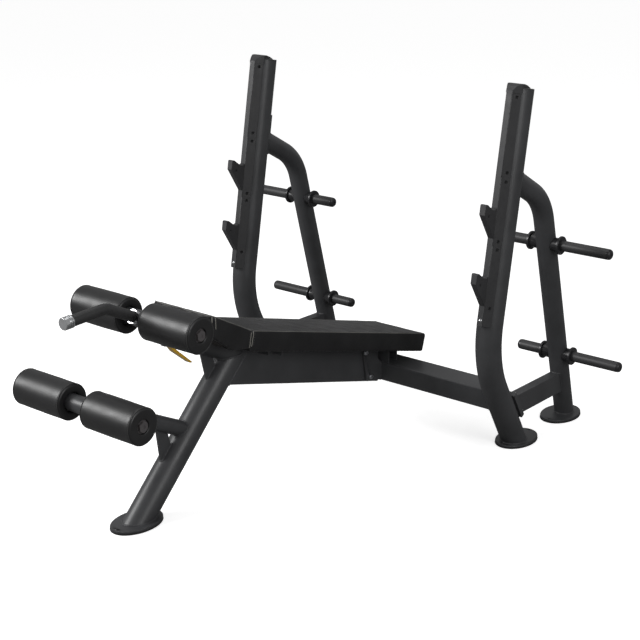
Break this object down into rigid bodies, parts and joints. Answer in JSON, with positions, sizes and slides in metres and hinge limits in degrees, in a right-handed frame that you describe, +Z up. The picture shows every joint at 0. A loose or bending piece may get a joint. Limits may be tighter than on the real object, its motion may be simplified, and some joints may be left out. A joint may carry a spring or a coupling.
{
  "type": "olympic decline bench press",
  "caption": "Fixed decline bench with barbell hooks at two heights, weight plate horns, and leg rollers of which the upper pair slides on a tube.",
  "frame": {"origin": "on the floor, on the centre plane, at the middle of the overall footprint", "axes": "+X across the bench, +Y from the leg rollers towards the bar rack, +Z up"},
  "size_m": [1.734, 2.1078, 1.3688],
  "materials": {
    "charcoal_coat": "fine-texture satin powder coat",
    "hook_steel": "satin powder coat",
    "cover_plastic": "moulded, fine grain",
    "dark_plastic": "moulded, soft gloss",
    "horn_coat": "satin, worn smooth",
    "pad_leather": "grained upholstery leather",
    "roller_skin": "smooth skinned foam",
    "roller_core": "moulded",
    "foot_rubber": "matt",
    "board": "black stained plywood",
    "zinc": "bright plated",
    "black_steel": "black plated",
    "chrome": "polished",
    "alu": "polished",
    "lever_yellow": "gloss yellow coat",
    "grip_rubber": "smooth grip",
    "liner_plastic": "slide liner",
    "spring_steel": "drawn wire"
  },
  "bodies": {
    "frame": {"back_pad": "pad_leather", "cover_screws": "black_steel", "crossbeam": "charcoal_coat", "foot_pads": "foot_rubber", "foot_plates": "charcoal_coat", "foot_screws": "black_steel", "frame_bolts": "zinc", "frame_plates": "charcoal_coat", "front_post": "charcoal_coat", "hook_plates": "hook_steel", "horn_collars": "dark_plastic", "horn_end_caps": "dark_plastic", "left_rear_leg": "charcoal_coat", "left_upright": "charcoal_coat", "lever_bracket": "charcoal_coat", "lever_pin": "black_steel", "lower_axle": "zinc", "lower_axle_caps": "dark_plastic", "lower_cross_tube": "charcoal_coat", "lower_gusset": "charcoal_coat", "lower_hook_covers": "cover_plastic", "lower_stub": "charcoal_coat", "pad_boards": "board", "pad_bolts": "black_steel", "pad_brackets": "charcoal_coat", "plate_horns": "horn_coat", "plunger_housing": "charcoal_coat", "plunger_spring": "spring_steel", "right_rear_leg": "charcoal_coat", "right_upright": "charcoal_coat", "seat_pad": "pad_leather", "set_bolts": "chrome", "side_beams": "charcoal_coat", "sleeve_liners": "liner_plastic", "spine_beam": "charcoal_coat", "spine_bolts": "zinc", "spine_cheeks": "charcoal_coat", "top_caps": "cover_plastic", "top_covers": "cover_plastic", "upper_gusset": "charcoal_coat", "upper_hook_covers": "cover_plastic", "upper_sleeve": "charcoal_coat"},
    "carriage": {"slide_tube": "charcoal_coat", "upper_cross_tube": "charcoal_coat", "upper_axle": "zinc", "upper_axle_caps": "dark_plastic", "grab_handle": "charcoal_coat", "handle_collar": "chrome", "handle_grip": "grip_rubber", "handle_end_cap": "alu"},
    "lever": {"release_lever": "lever_yellow"},
    "plunger": {"plunger_pin": "black_steel"},
    "lower_left_roller": {"lower_left_roller": "roller_skin", "lower_left_roller_core": "roller_core"},
    "lower_right_roller": {"lower_right_roller": "roller_skin", "lower_right_roller_core": "roller_core"},
    "upper_left_roller": {"upper_left_roller": "roller_skin", "upper_left_roller_core": "roller_core"},
    "upper_right_roller": {"upper_right_roller": "roller_skin", "upper_right_roller_core": "roller_core"}
  },
  "joints": [
    {"name": "carriage_slide", "type": "slide", "parent": "frame", "child": "carriage", "axis": [0, -0.8886, 0.4587], "range_m": [-0.04, 0.1]},
    {"name": "lever_hinge", "type": "hinge", "parent": "frame", "child": "lever", "pos_m": [0, -0.65903, 0.61087], "axis": [-1, 0, 0], "range_deg": [0, 6]},
    {"name": "plunger_slide", "type": "slide", "parent": "frame", "child": "plunger", "axis": [0, -0.4587, -0.8886], "range_m": [0, 0.004], "deforming": ["plunger_spring"]},
    {"name": "lower_left_roller_spin", "type": "hinge", "parent": "frame", "child": "lower_left_roller", "pos_m": [-0.16, -0.9922, 0.482], "axis": [1, 0, 0], "continuous": true},
    {"name": "lower_right_roller_spin", "type": "hinge", "parent": "frame", "child": "lower_right_roller", "pos_m": [0.16, -0.9922, 0.482], "axis": [1, 0, 0], "continuous": true},
    {"name": "upper_left_roller_spin", "type": "hinge", "parent": "carriage", "child": "upper_left_roller", "pos_m": [-0.16, -0.737, 0.704], "axis": [1, 0, 0], "continuous": true},
    {"name": "upper_right_roller_spin", "type": "hinge", "parent": "carriage", "child": "upper_right_roller", "pos_m": [0.16, -0.737, 0.704], "axis": [1, 0, 0], "continuous": true}
  ],
  "couplings": [
    {"joint": "plunger_slide", "follows": "lever_hinge", "m_per_rad": 0.0382}
  ]
}
